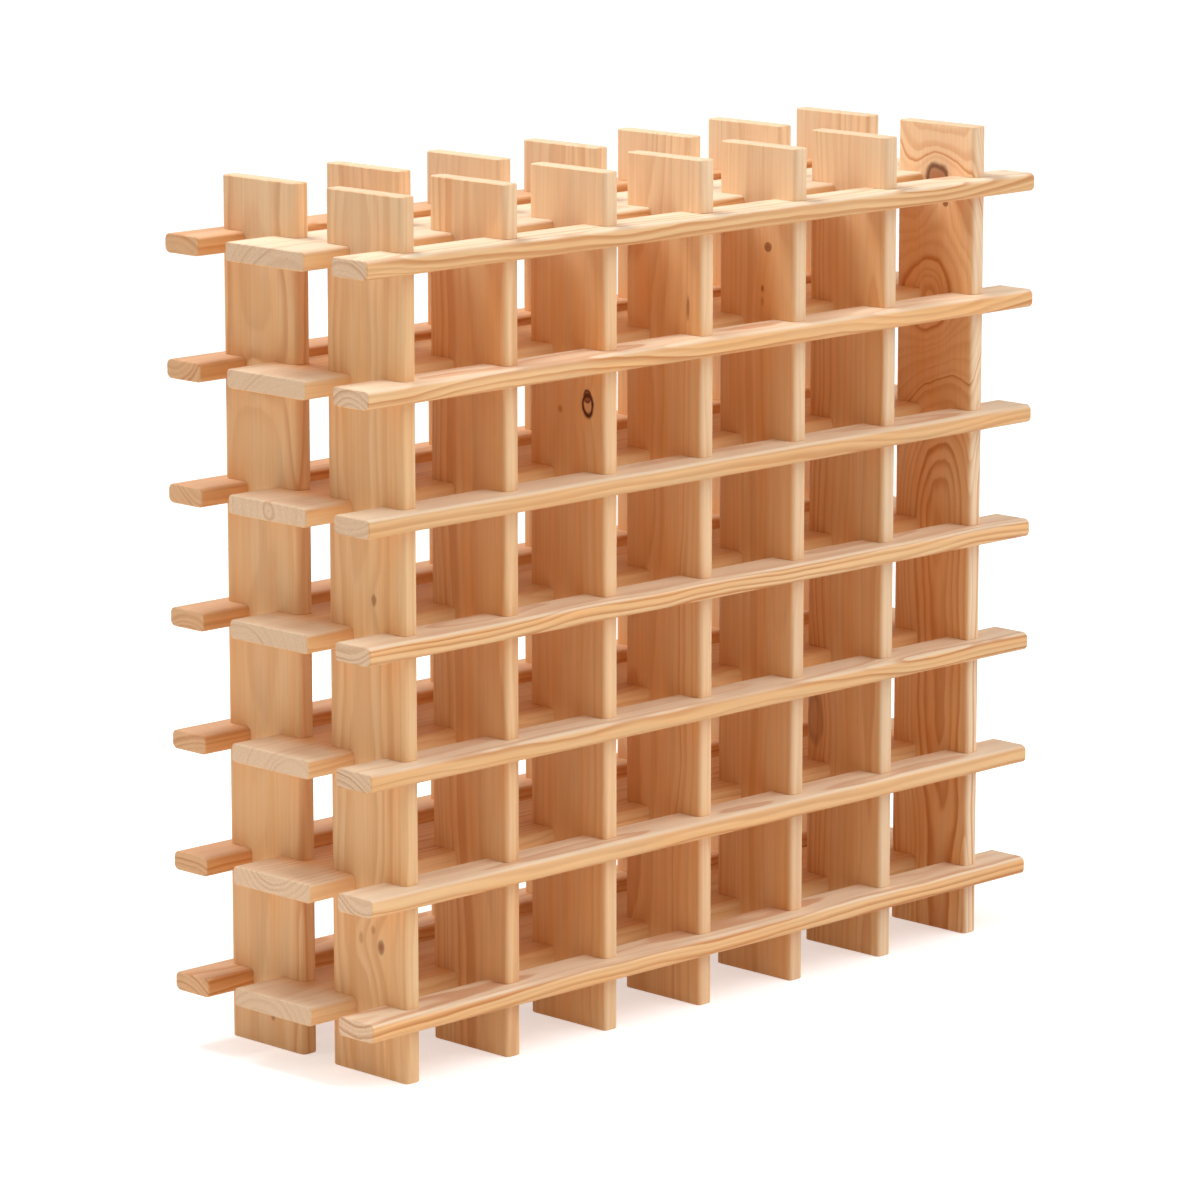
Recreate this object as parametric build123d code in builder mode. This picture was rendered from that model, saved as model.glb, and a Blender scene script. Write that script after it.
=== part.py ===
from build123d import *
import os

# A free-standing wine rack of planed softwood boards that slot into each other like an egg crate,
# with no fasteners. Uprights stand in two rows, front and rear. Each level has a narrow slat in the
# front notches of the front uprights, a wide board that joins the two rows, and a narrow slat in the
# rear notches of the rear uprights. The rear half is the mirror image of the front half.
# X runs along the slats, Y from front to rear and Z up. The origin is on the floor, under the middle.

# Driving dimensions (mm)
COLUMNS = 6  # bottle columns, so one more upright than that in each row
LEVELS = 7
COLUMN_PITCH = 115
LEVEL_PITCH = 104
THICKNESS = 16  # every board
UPRIGHT_WIDTH = 90
ROW_GAP = 36  # from a front upright to the rear upright behind it
SLAT_WIDTH = 42
SLAT_PROUD = 14  # how far a slat stands out from the uprights, in front or behind
MIDDLE_WIDTH = 95
FOOT_HEIGHT = 47  # from the floor to the underside of the lowest level
HORN_HEIGHT = 45  # how far the uprights stand above the top level
SIDE_OVERHANG = 50  # how far the slats and boards run past the outer uprights
EDGE_RADIUS = 4  # eased long edges
NOSE_RADIUS = 5  # the rounder outer edges of the narrow slats
END_CHAMFER = 0.8  # sawn ends, broken with sandpaper
PLAY = 0.2  # a notch is this much wider than the board in it
SEAT_PLAY = 0.1  # and this much deeper than half the lap
OVERCUT = 2  # how far a cutter passes the face that it enters through

# Worked out from them
UPRIGHT_HEIGHT = FOOT_HEIGHT + (LEVELS - 1) * LEVEL_PITCH + THICKNESS + HORN_HEIGHT
SLAT_LENGTH = COLUMNS * COLUMN_PITCH + THICKNESS + 2 * SIDE_OVERHANG
UPRIGHT_REAR = -ROW_GAP / 2
UPRIGHT_FRONT = UPRIGHT_REAR - UPRIGHT_WIDTH
SLAT_FRONT = UPRIGHT_FRONT - SLAT_PROUD
SLAT_REAR = SLAT_FRONT + SLAT_WIDTH
MIDDLE_FRONT = -MIDDLE_WIDTH / 2
SLAT_NOTCH = (SLAT_REAR - UPRIGHT_FRONT) / 2 + SEAT_PLAY  # half of each lap comes from each board
MIDDLE_NOTCH = (UPRIGHT_REAR - MIDDLE_FRONT) / 2 + SEAT_PLAY
COLUMN_X = [(i - COLUMNS / 2) * COLUMN_PITCH for i in range(COLUMNS + 1)]
LEVEL_Z = [FOOT_HEIGHT + i * LEVEL_PITCH for i in range(LEVELS)]


def upright(x):
    """A front upright, notched in front for the slats and behind for the middle boards."""
    middle = (UPRIGHT_FRONT + UPRIGHT_REAR) / 2
    with BuildPart() as board:
        with BuildSketch(Plane((x, middle, 0))) as section:
            Rectangle(THICKNESS, UPRIGHT_WIDTH)
            fillet(section.vertices(), EDGE_RADIUS)
        extrude(amount=UPRIGHT_HEIGHT)
        chamfer(board.faces().filter_by(Axis.Z).edges(), END_CHAMFER)
        through, slot = THICKNESS + 2 * OVERCUT, THICKNESS + PLAY
        with Locations([(x, UPRIGHT_FRONT + SLAT_NOTCH, z) for z in LEVEL_Z]):
            Box(through, SLAT_NOTCH + OVERCUT, slot,
                align=(Align.CENTER, Align.MAX, Align.MIN), mode=Mode.SUBTRACT)
        with Locations([(x, UPRIGHT_REAR - MIDDLE_NOTCH, z) for z in LEVEL_Z]):
            Box(through, MIDDLE_NOTCH + OVERCUT, slot,
                align=(Align.CENTER, Align.MIN, Align.MIN), mode=Mode.SUBTRACT)
    return board.part


def front_slat(z):
    """A narrow slat with its underside at z, rounder in front, with a rear notch for each upright."""
    with BuildPart() as board:
        start = Plane.YZ.offset(-SLAT_LENGTH / 2)
        with BuildSketch(start) as section:
            with Locations(((SLAT_FRONT + SLAT_REAR) / 2, z + THICKNESS / 2)):
                Rectangle(SLAT_WIDTH, THICKNESS)
            fillet(section.vertices().sort_by(Axis.X)[:2], NOSE_RADIUS)
            fillet(section.vertices().sort_by(Axis.X)[-2:], EDGE_RADIUS)
        extrude(amount=SLAT_LENGTH)
        chamfer(board.faces().filter_by(Axis.X).edges(), END_CHAMFER)
        with Locations([(x, SLAT_REAR - SLAT_NOTCH, z + THICKNESS / 2) for x in COLUMN_X]):
            Box(THICKNESS + PLAY, SLAT_NOTCH + OVERCUT, THICKNESS + 2 * OVERCUT,
                align=(Align.CENTER, Align.MIN, Align.CENTER), mode=Mode.SUBTRACT)
    return board.part


def middle_board(z):
    """The wide board of a level, with its underside at z and notches along both edges."""
    with BuildPart() as board:
        with BuildSketch(Plane.YZ.offset(-SLAT_LENGTH / 2)) as section:
            with Locations((0, z + THICKNESS / 2)):
                Rectangle(MIDDLE_WIDTH, THICKNESS)
            fillet(section.vertices(), EDGE_RADIUS)
        extrude(amount=SLAT_LENGTH)
        chamfer(board.faces().filter_by(Axis.X).edges(), END_CHAMFER)
        for side, inner_end in ((-1, Align.MAX), (1, Align.MIN)):
            floor = side * (MIDDLE_WIDTH / 2 - MIDDLE_NOTCH)
            with Locations([(x, floor, z + THICKNESS / 2) for x in COLUMN_X]):
                Box(THICKNESS + PLAY, MIDDLE_NOTCH + OVERCUT, THICKNESS + 2 * OVERCUT,
                    align=(Align.CENTER, inner_end, Align.CENTER), mode=Mode.SUBTRACT)
    return board.part


def mirrored(front_part):
    """The rear half's copy of a front piece."""
    with BuildPart() as copy:
        mirror(front_part, about=Plane.XZ)
    return copy.part


def save(part, name):
    part.label = name
    export_step(part, f"parts/{name}.step")


os.makedirs("parts", exist_ok=True)

# Uprights, numbered from the left
for number, x in enumerate(COLUMN_X, start=1):
    front = upright(x)
    save(front, f"front_upright_{number}")
    save(mirrored(front), f"rear_upright_{number}")

# Levels, numbered from the floor
for number, z in enumerate(LEVEL_Z, start=1):
    front = front_slat(z)
    save(front, f"front_slat_{number}")
    save(mirrored(front), f"rear_slat_{number}")
    save(middle_board(z), f"middle_board_{number}")
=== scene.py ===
"""Looks for a slotted pine wine rack. The CAD boards keep their shapes and get solid pine, with growth
rings, knots and end grain that run through each board. Lengths are in metres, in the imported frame."""
import math
import random

import bpy
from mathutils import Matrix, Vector


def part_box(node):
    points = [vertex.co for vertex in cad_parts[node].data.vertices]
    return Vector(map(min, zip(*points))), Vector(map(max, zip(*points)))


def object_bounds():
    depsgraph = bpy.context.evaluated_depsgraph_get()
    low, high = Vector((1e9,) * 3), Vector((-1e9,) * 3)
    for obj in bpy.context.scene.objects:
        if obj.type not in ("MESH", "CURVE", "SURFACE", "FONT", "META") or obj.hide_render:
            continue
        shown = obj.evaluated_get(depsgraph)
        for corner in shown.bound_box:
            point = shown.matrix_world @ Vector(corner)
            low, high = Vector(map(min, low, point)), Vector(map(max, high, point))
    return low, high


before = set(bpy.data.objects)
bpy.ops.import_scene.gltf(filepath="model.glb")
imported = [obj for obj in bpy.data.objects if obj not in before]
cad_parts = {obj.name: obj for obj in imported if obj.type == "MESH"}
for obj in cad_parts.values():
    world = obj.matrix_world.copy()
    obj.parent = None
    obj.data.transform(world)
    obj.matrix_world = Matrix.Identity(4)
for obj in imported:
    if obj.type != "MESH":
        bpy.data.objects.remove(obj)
CAD_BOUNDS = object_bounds()

# Camera: where it stands round the rack, and the small offset of its aim from the rack's middle
CAMERA_AZIMUTH = math.radians(-45.05)
CAMERA_ELEVATION = math.radians(11.31)
CAMERA_DISTANCE = 4.911
CAMERA_REACH = 200.0
CAMERA_LENS = 170.58  # mm
SENSOR_WIDTH = 36.0  # mm
AIM_OFFSET = Vector((-0.0139, 0.0069, -0.0244))

# Floor: a faint glow stands in for the light of a white studio, and is stronger where it is seen
# directly, so that the floor runs into the white backdrop
FLOOR_SIDE = 120.0
FLOOR_COLOUR = (0.9, 0.9, 0.9, 1.0)
FLOOR_ROUGHNESS = 0.9
FLOOR_GLOSS = 0.1
FLOOR_GLOW = 0.10
FLOOR_GLOW_SEEN = 0.48
WHITE = (1.0, 1.0, 1.0, 1.0)

# Sky: dim, with large soft sources as bright patches, and white where it is seen directly
SKY_DIM = 0.10
SKY_SEEN = 1.0
SKY_PATCHES = (  # the way towards each patch, and how bright it is
    ((0.10, -0.55, 0.80), 1.6),
    ((0.65, -0.60, 0.45), 1.0),
    ((-0.65, 0.60, 0.45), 0.75),
    ((-0.75, -0.20, 0.65), 0.3),
    ((1.00, 0.10, 0.20), 0.5),
    ((0.70, 0.70, 0.12), 0.3),
)
PATCH_EDGE = (0.75, 0.97)  # a patch starts and is full at these cosines of the angle from its middle

# One soft box above and behind, placed from the rack's middle
OVERHEAD_PLACE = Vector((-0.35, 0.95, 2.2))
OVERHEAD_SIDE = 0.9
OVERHEAD_POWER = 36.0

# Pine, as linear colours
EARLY_PALE = (0.94, 0.620, 0.325)
EARLY_WARM = (0.91, 0.490, 0.200)
LATE = (0.64, 0.235, 0.060)
# the pale colour of painted light, put on faces that are painted as if lit more strongly
PAINTED_LIGHT_COLOUR = (0.96, 0.765, 0.555)
DEEP = (0.74, 0.320, 0.105)
END_GRAIN = (0.89, 0.620, 0.410)
END_LATE = (0.60, 0.300, 0.140)
KNOT_RIM = (0.110, 0.018, 0.003)
KNOT_WOOD = (0.380, 0.110, 0.025)

# How many times a metre each feature of the wood comes back: along, across and through a board
WANDER_RATE = (2.4, 5.0, 5.0)
RIPPLE_RATE = (16.0, 60.0, 60.0)
PATCHY_RATE = (3.0, 25.0, 25.0)
FIBRE_RATE = (9.0, 420.0, 420.0)
STREAK_RATE = (1.4, 55.0, 55.0)
CLOUD_RATE = (9.0, 22.0, 22.0)
PORE_RATE = (60.0, 700.0, 700.0)
KNOT_BLUR_RATE = (90.0, 120.0, 120.0)
SEED_STEPS = (3.1, 7.7, 5.3)  # how far a board's seed moves it through the noise

# Growth rings. A ring darkens slowly from LATE_START of its width to LATE_PEAK, then ends sharply.
WANDER = 0.040  # how far the pith line wanders
RIPPLE = 0.0030
UNEVEN = 2.2  # how many rings the spacing drifts by
UNEVEN_RATE = 0.31  # and how quickly, from ring to ring
LATE_START = 0.10
LATE_PEAK = 0.84
LATE_CURVE = 1.8
WEAKEST_RING = 0.20
WEAK_RINGS = 1.6  # the higher, the more rings are weak
PATCHY = (0.55, 1.15)
PAINTED_LIGHT_FADES_RINGS = 0.4  # the part of a ring's strength that full painted light takes, as in a washed-out highlight

# How strongly the parts of the figure show
LATE_SHOWS = 0.90
LATE_SHOWS_ON_END = 0.65
END_SHOWS = 0.85
STREAK_SHARE = 0.55  # streaks make this much of the drift from pale to warm, and clouds the rest
WARMTH = (-0.1, 1.1)
FIBRE_SHADE = (0.94, 1.05)
CLOUD_SHADE = (0.97, 1.03)
PORE_SHADE = (0.90, 1.06)

# Surface
ROUGHNESS = (0.44, 0.54)
END_ROUGHER = 0.16
LATE_SMOOTHER = 0.06
GLOSS = 0.3
LATE_HEIGHT = 0.6
FIBRE_HEIGHT = 0.5
KNOT_HEIGHT = 0.5
BUMP_STRENGTH = 0.25
BUMP_DEPTH = 0.0004

# Knots and pins that show, from each board's middle: along the board, across it, half width, half
# length, how dark the wood and the rim are, and how far the knot pushes the growth rings out
KNOTS = {
    "front_upright_1": ((0.0345, -0.0096, 0.0035, 0.0055, 0.75, 0.0, 0.004),
                        (-0.2550, -0.0150, 0.0034, 0.0055, 0.90, 0.4, 0.008),
                        (-0.2420, -0.0055, 0.0030, 0.0045, 0.45, 0.0, 0.003),
                        (-0.2510, 0.0090, 0.0030, 0.0060, 0.40, 0.0, 0.003)),
    "front_upright_3": ((0.1695, -0.0245, 0.0060, 0.0090, 0.15, 1.0, 0.008),
                        (0.1770, -0.0240, 0.0040, 0.0050, 0.95, 0.9, 0.0),
                        (0.1630, 0.0080, 0.0032, 0.0036, 0.50, 0.0, 0.003)),
    "front_upright_4": ((0.2400, -0.0290, 0.0020, 0.0120, 0.65, 0.0, 0.0),),
    "front_upright_5": ((0.2790, -0.0130, 0.0036, 0.0034, 0.90, 0.6, 0.006),
                        (0.2425, -0.0066, 0.0020, 0.0036, 0.80, 0.0, 0.002),
                        (0.2310, -0.0066, 0.0022, 0.0050, 0.35, 0.0, 0.0)),
    "front_upright_6": ((-0.1600, 0.0340, 0.0080, 0.0220, 0.35, 0.3, 0.010),),
    "front_upright_7": ((0.3180, -0.0020, 0.0120, 0.0110, 0.70, 0.8, 0.018),
                        (0.2960, -0.0120, 0.0028, 0.0030, 0.95, 0.6, 0.004),
                        (0.3040, -0.0300, 0.0060, 0.0022, 0.95, 0.6, 0.004),
                        (0.2090, 0.0040, 0.0280, 0.0300, 0.0, 0.0, 0.065)),
    "rear_upright_1": ((0.2050, 0.0090, 0.0040, 0.0200, 0.0, 0.0, 0.009),
                       (0.2000, -0.0120, 0.0040, 0.0200, 0.0, 0.0, 0.009),
                       (-0.3400, -0.0070, 0.0030, 0.0040, 0.60, 0.0, 0.003)),
}
KNOT_BLUR = 0.5  # how uneven a knot's outline is, as a share of its half sizes
KNOT_SOFTNESS = (0.45, 1.15)  # its wood fades between these shares of its half sizes
RIM_PLACE = 0.95  # its dark rim lies at this share, and fades this far to each side of it
RIM_SOFTNESS = (0.05, 0.42)
PUSH_REACH = 0.010  # how far round a knot the rings are pushed, and more round a wide one
PUSH_REACH_PER_WIDTH = 1.2
PUSH_STRETCH = 0.6
PUSH_CURVE = 1.6
PUSH_FALL = 0.7

# How each board was cut from its tree, drawn from these ranges
PITH_ACROSS = 0.4  # the pith's greatest shift to one side, as a share of the board's width
PITH_AWAY = (0.022, 0.060)  # the pith's distance from the board's middle, through its thickness
TAPER = 0.012
RING_WIDTH = (0.0052, 0.0075)
TONE = (0.96, 1.03)
CONTRAST = (0.45, 0.80)
SEEDS = 40.0
SLAT_CONTRAST = 2.4  # the slats were cut from finer, stronger figured wood than the wide boards
SLAT_RINGS = 0.85
REAR_SLAT_DEEP = 0.60  # and the rear slats are darker and redder, and their ends look less like end grain
REAR_SLAT_END = 0.35

# Boards whose rings are given one by one, because they show
CUTS = {
    "front_upright_1": {"Contrast": 0.45, "Ring Width": 0.0065},
    "front_upright_7": {"Pith Y": -0.010, "Pith Z": 0.040, "Ring Width": 0.0038, "Contrast": 1.2},
    "middle_board_5": {"Pith Y": -0.001, "Pith Z": 0.001},
    "rear_upright_1": {"Pith Y": 0.002, "Pith Z": 0.055, "Contrast": 0.7},
}

# Painted light: the uprights' upper ends and front edges are painted paler, as if lit more strongly, the
# more so from left to right. So are the upper faces of the slats and of the top board, and of the other
# middle boards past the uprights.
HORN_REACH = (0.27, 0.33)  # heights above an upright's middle
HORN_PAINTED_LIGHT_MOST = 0.50
HORN_PAINTED_LIGHT_LEAST = 0.20
HORN_PAINTED_LIGHT_STEP = 0.10
FRONT_PAINTED_LIGHT_STEP = 0.09
TOP_BOARD = "middle_board_7"
OUTSIDE = (0.345, 0.375)  # distances from a middle board's middle

# Cosines between which a face counts as turned to the front, upwards, or to a board's end
TO_FRONT = (-0.9, -0.4)
UPWARDS = (0.3, 0.9)
TO_END = (0.75, 0.95)


class Tree:
    """Short calls for building a node tree."""

    def __init__(self, tree):
        self.tree = tree

    def add(self, kind, inputs=(), **settings):
        node = self.tree.nodes.new("ShaderNode" + kind)
        for name, value in settings.items():
            setattr(node, name, value)
        for key, value in dict(inputs).items():
            self.feed(node.inputs[key], value)
        return node

    def feed(self, socket, value):
        if isinstance(value, bpy.types.NodeSocket):
            self.tree.links.new(value, socket)
        else:
            socket.default_value = value

    def math(self, operation, *values, clamp=False):
        node = self.add("Math", enumerate(values), operation=operation, use_clamp=clamp)
        return node.outputs[0]

    def product(self, first, *others):
        for other in others:
            first = self.math("MULTIPLY", first, other)
        return first

    def vector(self, operation, *values):
        node = self.add("VectorMath", enumerate(values), operation=operation)
        return node.outputs["Value" if operation in ("LENGTH", "DOT_PRODUCT") else "Vector"]

    def stretch(self, vector, scale):
        return self.vector("MULTIPLY", vector, scale)

    def split(self, vector):
        return self.add("SeparateXYZ", {0: vector}).outputs

    def join(self, x, y, z):
        return self.add("CombineXYZ", {0: x, 1: y, 2: z}).outputs[0]

    def noise(self, place, rate, detail=2.0, roughness=0.5, output="Fac"):
        """Noise that comes back about rate times a metre, for each direction."""
        inputs = {"Vector": self.stretch(place, rate), "Scale": 1.0, "Detail": detail}
        return self.add("TexNoise", {**inputs, "Roughness": roughness}).outputs[output]

    def shake(self, place, rate):
        """A vector of noise, centred on zero."""
        return self.vector("SUBTRACT", self.noise(place, rate, output="Color"), (0.5, 0.5, 0.5))

    def step(self, value, low, high, to_low=0.0, to_high=1.0):
        """A smooth step from to_low, at low, to to_high, at high."""
        inputs = {"Value": value, "From Min": low, "From Max": high, "To Min": to_low, "To Max": to_high}
        return self.add("MapRange", inputs, interpolation_type="SMOOTHSTEP").outputs[0]

    def spread(self, value, low, high):
        """A noise value of about 0.3 to 0.7, spread from low to high."""
        inputs = {"Value": value, "From Min": 0.3, "From Max": 0.7, "To Min": low, "To Max": high}
        return self.add("MapRange", inputs).outputs[0]

    def blend(self, factor, a, b, kind="MIX"):
        node = self.add("Mix", {0: factor}, data_type="RGBA", blend_type=kind)
        for socket, colour in ((node.inputs[6], a), (node.inputs[7], b)):
            self.feed(socket, colour if isinstance(colour, bpy.types.NodeSocket) else (*colour, 1.0))
        return node.outputs[2]

    def shade(self, colour, factor):
        return self.blend(1.0, colour, self.join(factor, factor, factor), "MULTIPLY")


def pith_distance(t, g, place):
    """How far a point is from the pith line, which wanders slowly along a trunk that tapers."""
    x, y, z = t.split(g["Position"])
    wander = t.split(t.stretch(t.shake(place, WANDER_RATE), (0.0, WANDER, WANDER)))
    across = t.math("ADD", t.math("SUBTRACT", y, g["Pith Y"]), wander[1])
    through = t.math("ADD", t.math("SUBTRACT", z, g["Pith Z"]), wander[2])
    radius = t.vector("LENGTH", t.join(0.0, across, through))
    ripple = t.math("SUBTRACT", t.noise(place, RIPPLE_RATE), 0.5)
    radius = t.math("ADD", radius, t.product(ripple, RIPPLE))
    return t.math("ADD", radius, t.math("MULTIPLY_ADD", x, g["Taper"], g["Swell"]))


def late_wood(t, g, place):
    """How far a point is into the late wood, which is the dark part of a growth ring."""
    rings = t.math("DIVIDE", pith_distance(t, g, place), g["Ring Width"])
    along = t.math("ADD", t.product(rings, UNEVEN_RATE), g["Seed"])
    uneven = t.add("TexNoise", {"W": along, "Scale": 1.0}, noise_dimensions="1D").outputs["Fac"]
    rings = t.math("ADD", rings, t.product(uneven, UNEVEN))
    number = t.math("ADD", t.math("FLOOR", rings), g["Seed"])
    strength = t.add("TexWhiteNoise", {"W": number}, noise_dimensions="1D").outputs["Value"]
    strength = t.math("POWER", strength, WEAK_RINGS)
    strength = t.math("MULTIPLY_ADD", strength, 1.0 - WEAKEST_RING, WEAKEST_RING)
    patchy = t.spread(t.noise(place, PATCHY_RATE, detail=1.0), *PATCHY)
    phase = t.math("FRACT", rings)
    rise = t.math("POWER", t.step(phase, LATE_START, LATE_PEAK), LATE_CURVE)
    fall = t.step(phase, LATE_PEAK, 1.0, 1.0, 0.0)
    late = t.math("MULTIPLY", t.product(rise, fall, strength, patchy), g["Contrast"], clamp=True)
    # painted light also fades the rings, as a washed-out highlight would
    return t.product(late, t.math("MULTIPLY_ADD", g["Painted Light"], -PAINTED_LIGHT_FADES_RINGS, 1.0))


def side_grain(t, g, place, late, fibre):
    """The colour of a board's faces and edges, with broad streaks and clouds and fine fibres."""
    streak = t.noise(place, STREAK_RATE)
    cloud = t.noise(place, CLOUD_RATE, detail=3.0)
    warmth = t.math("ADD", t.product(streak, STREAK_SHARE), t.product(cloud, 1.0 - STREAK_SHARE))
    colour = t.blend(t.spread(warmth, *WARMTH), EARLY_PALE, EARLY_WARM)
    # painted light: faces are painted paler, as if lit more strongly
    colour = t.blend(g["Painted Light"], colour, PAINTED_LIGHT_COLOUR)
    colour = t.blend(g["Deep"], colour, DEEP)
    colour = t.blend(t.product(late, LATE_SHOWS), colour, LATE)
    fibre_shade = t.spread(fibre, *FIBRE_SHADE)
    cloud_shade = t.spread(cloud, *CLOUD_SHADE)
    return t.shade(colour, t.product(fibre_shade, g["Tone"], cloud_shade))


def end_grain(t, g, place, late):
    """The colour of a sawn end, which is greyer and has open pores."""
    pores = t.spread(t.noise(place, PORE_RATE), *PORE_SHADE)
    colour = t.blend(t.product(late, LATE_SHOWS_ON_END), END_GRAIN, END_LATE)
    return t.shade(colour, t.product(pores, g["Tone"]))


def pine_figure():
    """The node group for the figure of a pine board. Position is in board coordinates: X along the
    grain, Y across the width and Z through the thickness. The growth rings lie round a pith line
    that the board was sawn away from, so faces, edges and ends all cut the same rings."""
    group = bpy.data.node_groups.new("pine_figure", "ShaderNodeTree")
    sockets = group.interface
    sockets.new_socket("Position", in_out="INPUT", socket_type="NodeSocketVector")
    # Painted Light is how much paler a face is painted, as if lit more strongly: painted light
    for name in ("End", "Seed", "Pith Y", "Pith Z", "Taper", "Ring Width", "Contrast", "Swell",
                 "Knot", "Knot Rim", "Tone", "Painted Light", "Deep"):
        sockets.new_socket(name, in_out="INPUT", socket_type="NodeSocketFloat")
    sockets.new_socket("Color", in_out="OUTPUT", socket_type="NodeSocketColor")
    for name in ("Roughness", "Height"):
        sockets.new_socket(name, in_out="OUTPUT", socket_type="NodeSocketFloat")
    t = Tree(group)
    g = group.nodes.new("NodeGroupInput").outputs
    results = group.nodes.new("NodeGroupOutput").inputs

    seed = g["Seed"]
    place = t.vector("ADD", g["Position"], t.stretch(t.join(seed, seed, seed), SEED_STEPS))
    late = late_wood(t, g, place)
    fibre = t.noise(place, FIBRE_RATE, detail=3.0, roughness=0.6)

    side = side_grain(t, g, place, late, fibre)
    colour = t.blend(t.product(g["End"], END_SHOWS), side, end_grain(t, g, place, late))
    colour = t.blend(g["Knot"], colour, KNOT_WOOD)
    colour = t.blend(g["Knot Rim"], colour, KNOT_RIM)
    t.feed(results["Color"], colour)

    rough = t.math("ADD", t.spread(fibre, *ROUGHNESS), t.product(g["End"], END_ROUGHER))
    t.feed(results["Roughness"], t.math("SUBTRACT", rough, t.product(late, LATE_SMOOTHER)))
    height = t.math("MULTIPLY_ADD", late, LATE_HEIGHT, t.product(fibre, FIBRE_HEIGHT))
    t.feed(results["Height"], t.math("ADD", height, t.product(g["Knot"], KNOT_HEIGHT)))
    return group


FIGURE = pine_figure()


def knot_fields(t, position, knots):
    """How far the knots push the rings out, and the masks of their wood and their dark rims."""
    swell, wood, rim = 0.0, 0.0, 0.0
    if not knots:
        return swell, wood, rim
    blur = t.shake(position, KNOT_BLUR_RATE)
    for along, across, half_width, half_length, darkness, edge, push in knots:
        away = t.vector("SUBTRACT", position, (along, across, 0.0))
        if push:
            reach = PUSH_REACH + PUSH_REACH_PER_WIDTH * half_width
            flow = t.vector("LENGTH", t.stretch(away, (PUSH_STRETCH / reach, 1.0 / reach, 0.0)))
            bulge = t.math("EXPONENT", t.product(t.math("POWER", flow, PUSH_CURVE), -PUSH_FALL))
            swell = t.math("MULTIPLY_ADD", bulge, push, swell)
        jitter = t.stretch(blur, (KNOT_BLUR * half_length, KNOT_BLUR * half_width, 0.0))
        shares = t.stretch(t.vector("ADD", away, jitter), (1.0 / half_length, 1.0 / half_width, 0.0))
        near = t.vector("LENGTH", shares)
        if darkness:
            wood = t.math("MAXIMUM", wood, t.step(near, *KNOT_SOFTNESS, darkness, 0.0))
        if edge:
            off_rim = t.math("ABSOLUTE", t.math("SUBTRACT", near, RIM_PLACE))
            rim = t.math("MAXIMUM", rim, t.step(off_rim, *RIM_SOFTNESS, edge, 0.0))
    return swell, wood, rim


def painted_light(t, name, x, z, normal):
    """How much light is painted on a board as a paler colour: on an upright's upper end and front edge,
    and on the upper faces of the others. x and z are taken from the board's middle.
    """
    if "upright" in name:
        number = int(name[-1])
        # painted light on an upright: its upper end and its front edge are painted paler, as if lit more
        # strongly, more so to the right
        most = min(HORN_PAINTED_LIGHT_MOST, HORN_PAINTED_LIGHT_LEAST + HORN_PAINTED_LIGHT_STEP * number)
        horn = t.step(z, *HORN_REACH, 0.0, most)
        front = t.step(normal["Y"], *TO_FRONT, FRONT_PAINTED_LIGHT_STEP * number, 0.0)
        return t.math("MAXIMUM", horn, front)
    # painted light on upper faces: painted paler, as if lit from above
    upper = t.step(normal["Z"], *UPWARDS)
    if "slat" in name or name == TOP_BOARD:
        return upper
    return t.product(upper, t.step(t.math("ABSOLUTE", x), *OUTSIDE))


def pine(name, along_axis, centre, cut, end_share):
    """A pine material for one board. cut holds the numbers that set its rings and tone, and end_share
    is how much its sawn ends look like end grain."""
    material = bpy.data.materials.new("pine_" + name)
    material.use_nodes = True
    tree = material.node_tree
    tree.nodes.clear()
    t = Tree(tree)
    coordinates = t.add("TexCoord").outputs
    x, y, z = t.split(t.vector("SUBTRACT", coordinates["Object"], centre))
    position = t.join(z, y, x) if along_axis == 2 else t.join(x, y, z)
    normal = t.split(coordinates["Normal"])
    facing_end = t.math("ABSOLUTE", normal[along_axis])
    swell, wood, rim = knot_fields(t, position, KNOTS.get(name, ()))
    figure = tree.nodes.new("ShaderNodeGroup")
    figure.node_tree = FIGURE
    values = {
        "Position": position,
        "End": t.step(facing_end, *TO_END, 0.0, end_share),
        "Swell": swell,
        "Knot": wood,
        "Knot Rim": rim,
        # the painted light: how much paler this face is painted, as if lit more strongly
        "Painted Light": painted_light(t, name, x, z, normal),
        **cut,
    }
    for key, value in values.items():
        t.feed(figure.inputs[key], value)
    bump_inputs = {"Strength": BUMP_STRENGTH, "Distance": BUMP_DEPTH, "Height": figure.outputs["Height"]}
    shader = t.add("BsdfPrincipled", {
        "Base Color": figure.outputs["Color"],
        "Roughness": figure.outputs["Roughness"],
        "Specular IOR Level": GLOSS,
        "Normal": t.add("Bump", bump_inputs).outputs[0],
    })
    t.add("OutputMaterial", {"Surface": shader.outputs[0]})
    return material


def dress_boards():
    """Gives every CAD board its own pine."""
    draw = random.Random(11)
    for name in sorted(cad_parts):
        low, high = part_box(name)
        size = high - low
        along_axis = max(range(3), key=lambda i: size[i])
        cut = {
            "Seed": draw.uniform(0.0, SEEDS),
            "Pith Y": draw.uniform(-PITH_ACROSS, PITH_ACROSS) * size.y,
            "Pith Z": draw.choice((-1, 1)) * draw.uniform(*PITH_AWAY),
            "Taper": draw.uniform(-TAPER, TAPER),
            "Ring Width": draw.uniform(*RING_WIDTH),
            "Tone": draw.uniform(*TONE),
            "Contrast": draw.uniform(*CONTRAST),
        }
        end_share = 1.0
        if "slat" in name:
            cut["Contrast"] *= SLAT_CONTRAST
            cut["Ring Width"] *= SLAT_RINGS
        if name.startswith("rear_slat"):
            cut["Deep"] = REAR_SLAT_DEEP
            end_share = REAR_SLAT_END
        cut.update(CUTS.get(name, {}))
        material = pine(name, along_axis, (low + high) / 2, cut, end_share)
        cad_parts[name].material_slots[0].material = material


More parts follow.
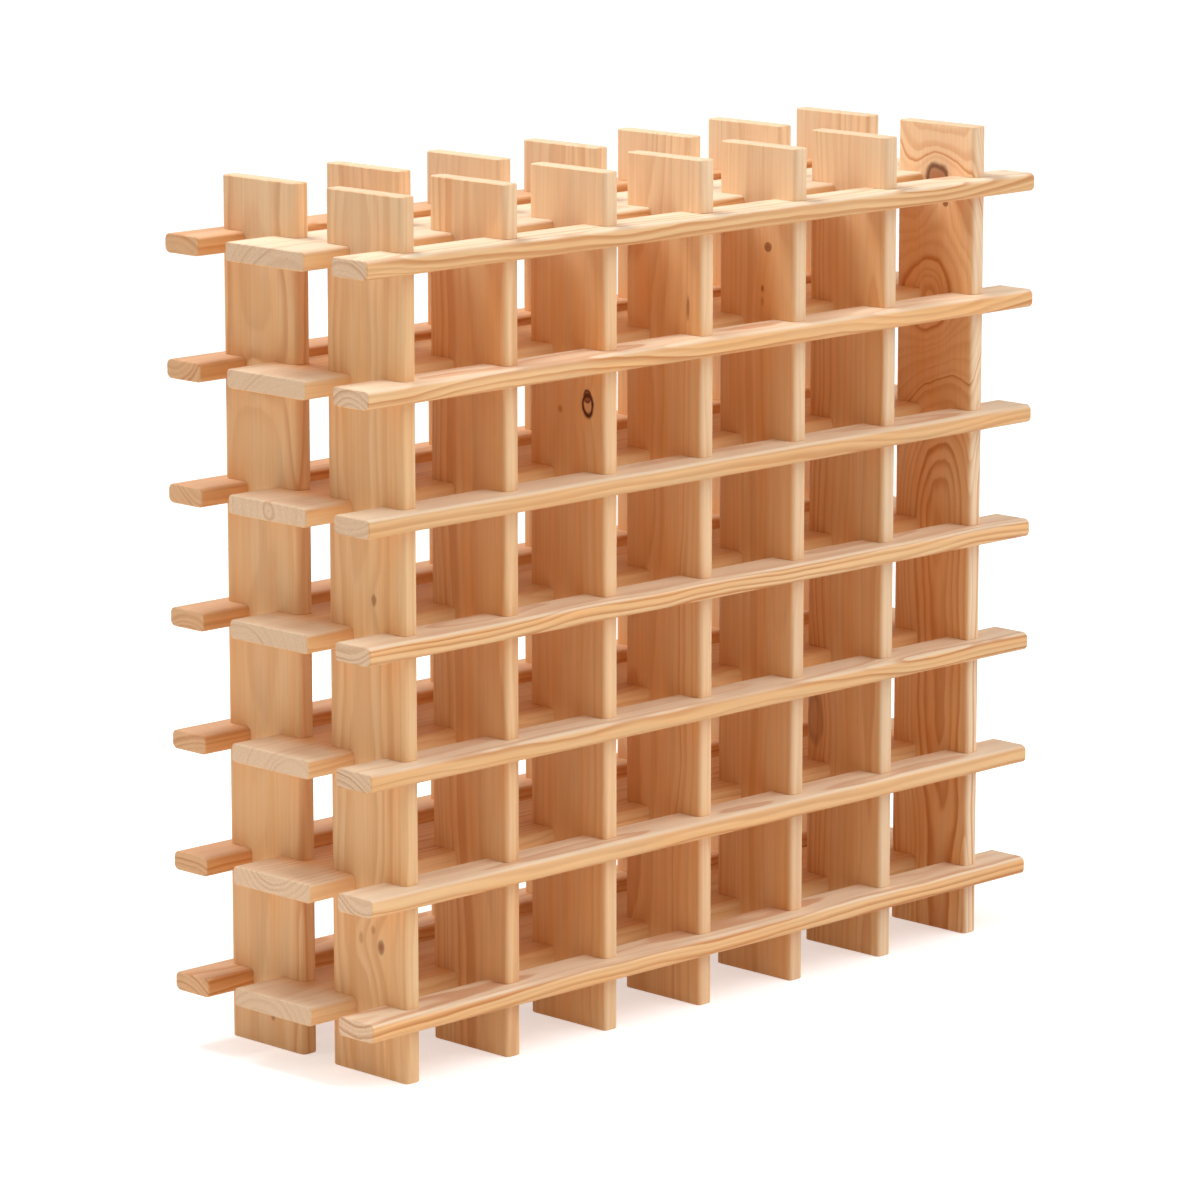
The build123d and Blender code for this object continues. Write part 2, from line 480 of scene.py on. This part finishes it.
def build_floor():
    """A plain pale floor, wide enough to meet the backdrop."""
    half = FLOOR_SIDE / 2
    corners = [(-half, -half, 0), (half, -half, 0), (half, half, 0), (-half, half, 0)]
    mesh = bpy.data.meshes.new("floor")
    mesh.from_pydata(corners, [], [(0, 1, 2, 3)])
    floor = bpy.data.objects.new("floor", mesh)
    bpy.context.scene.collection.objects.link(floor)
    material = bpy.data.materials.new("floor")
    material.use_nodes = True
    t = Tree(material.node_tree)
    shader = material.node_tree.nodes["Principled BSDF"]
    shader.inputs["Base Color"].default_value = FLOOR_COLOUR
    shader.inputs["Roughness"].default_value = FLOOR_ROUGHNESS
    shader.inputs["Specular IOR Level"].default_value = FLOOR_GLOSS
    shader.inputs["Emission Color"].default_value = WHITE
    seen = t.add("LightPath").outputs["Is Camera Ray"]
    glow = t.math("MULTIPLY_ADD", seen, FLOOR_GLOW_SEEN - FLOOR_GLOW, FLOOR_GLOW)
    t.feed(shader.inputs["Emission Strength"], glow)
    mesh.materials.append(material)


def build_sky():
    world = bpy.data.worlds.new("studio")
    world.use_nodes = True
    bpy.context.scene.world = world
    world.node_tree.nodes.clear()
    t = Tree(world.node_tree)
    direction = t.add("TexCoord").outputs["Generated"]
    strength = SKY_DIM
    for way, power in SKY_PATCHES:
        nearness = t.vector("DOT_PRODUCT", direction, Vector(way).normalized())
        strength = t.math("ADD", strength, t.step(nearness, *PATCH_EDGE, 0.0, power))
    seen = t.add("LightPath").outputs["Is Camera Ray"]
    strength = t.add("Mix", {0: seen, 2: strength, 3: SKY_SEEN}, data_type="FLOAT").outputs[0]
    background = t.add("Background", {"Color": WHITE, "Strength": strength})
    t.add("OutputWorld", {"Surface": background.outputs[0]})


def build_overhead():
    light = bpy.data.lights.new("overhead", "AREA")
    light.shape = "SQUARE"
    light.size = OVERHEAD_SIDE
    light.energy = OVERHEAD_POWER
    box = bpy.data.objects.new("overhead", light)
    box.location = MIDDLE + OVERHEAD_PLACE
    box.rotation_mode = "QUATERNION"
    box.rotation_quaternion = (-OVERHEAD_PLACE).to_track_quat("-Z", "Y")
    bpy.context.scene.collection.objects.link(box)


def build_camera():
    level = math.cos(CAMERA_ELEVATION)
    back = Vector((math.sin(CAMERA_AZIMUTH) * level, -math.cos(CAMERA_AZIMUTH) * level,
                   math.sin(CAMERA_ELEVATION)))
    data = bpy.data.cameras.new("camera")
    data.lens = CAMERA_LENS
    data.sensor_width = SENSOR_WIDTH
    data.clip_end = CAMERA_REACH
    camera = bpy.data.objects.new("camera", data)
    camera.location = MIDDLE + AIM_OFFSET + back * CAMERA_DISTANCE
    camera.rotation_mode = "QUATERNION"
    camera.rotation_quaternion = (-back).to_track_quat("-Z", "Y")
    bpy.context.scene.collection.objects.link(camera)
    bpy.context.scene.camera = camera


MIDDLE = (CAD_BOUNDS[0] + CAD_BOUNDS[1]) / 2
build_camera()
dress_boards()
build_floor()
build_sky()
build_overhead()
bpy.context.scene.view_settings.view_transform = "Standard"
